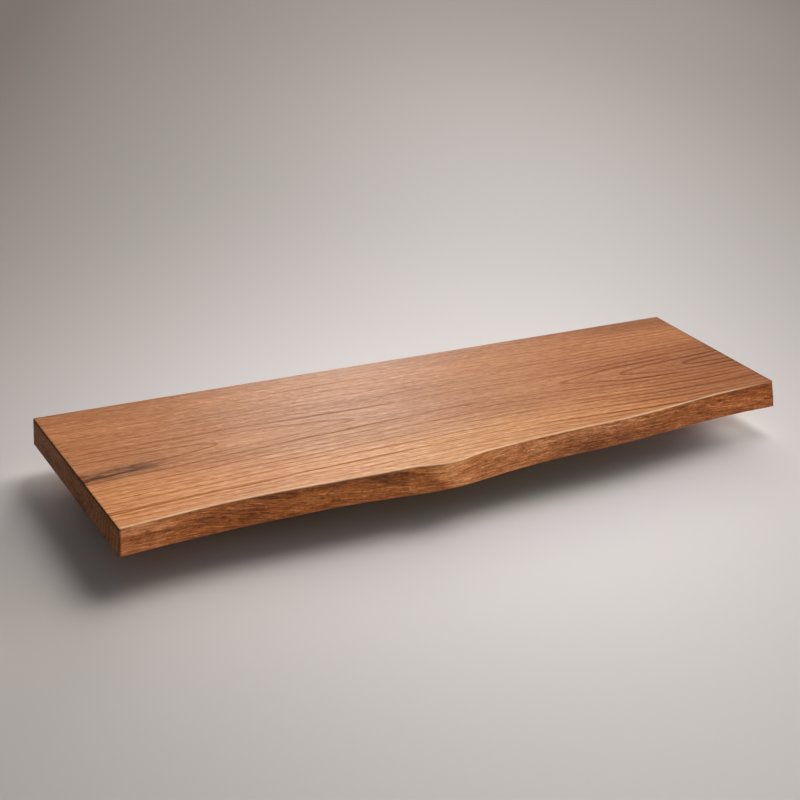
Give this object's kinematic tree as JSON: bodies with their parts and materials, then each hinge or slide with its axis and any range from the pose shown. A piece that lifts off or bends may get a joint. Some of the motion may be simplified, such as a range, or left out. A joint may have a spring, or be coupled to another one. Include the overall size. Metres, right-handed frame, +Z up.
{
  "type": "live edge wall shelf",
  "caption": "Floating hardwood wall shelf with a waved live front edge, slid over concealed steel support rods on wall plates and locked from below.",
  "frame": {"origin": "on the wall plane, at the middle of the shelf's length and at the height of the support rods, which is the middle of the board's thickness", "axes": "+X along the shelf to the right as seen from the room, +Y into the wall, +Z up"},
  "size_m": [0.9, 0.2719, 0.032],
  "materials": {
    "oiled_wood": "oiled, satin, warm mid brown with darker grain lines",
    "plate_steel": "zinc-plated, satin",
    "rod_steel": "drawn steel bar, fine turning marks",
    "insert_brass": "turned brass, satin",
    "screw_steel": "black oxide, slightly oily"
  },
  "bodies": {
    "wall_supports": {"wall_plate_left": "plate_steel", "wall_plate_centre": "plate_steel", "wall_plate_right": "plate_steel", "support_rod_left": "rod_steel", "support_rod_centre": "rod_steel", "support_rod_right": "rod_steel"},
    "shelf": {"live_edge_board": "oiled_wood", "threaded_insert_left": "insert_brass", "threaded_insert_centre": "insert_brass", "threaded_insert_right": "insert_brass"},
    "left_lock": {"lock_screw_left": "screw_steel"},
    "centre_lock": {"lock_screw_centre": "screw_steel"},
    "right_lock": {"lock_screw_right": "screw_steel"}
  },
  "joints": [
    {"name": "shelf_slide", "type": "slide", "parent": "wall_supports", "child": "shelf", "axis": [0, -1, 0], "range_m": [0, 0.16]},
    {"name": "left_lock_travel", "type": "slide", "parent": "shelf", "child": "left_lock", "axis": [0, 0, -1], "range_m": [-0.0002, 0.0015]},
    {"name": "centre_lock_travel", "type": "slide", "parent": "shelf", "child": "centre_lock", "axis": [0, 0, -1], "range_m": [-0.0002, 0.0015]},
    {"name": "right_lock_travel", "type": "slide", "parent": "shelf", "child": "right_lock", "axis": [0, 0, -1], "range_m": [-0.0002, 0.0015]}
  ]
}
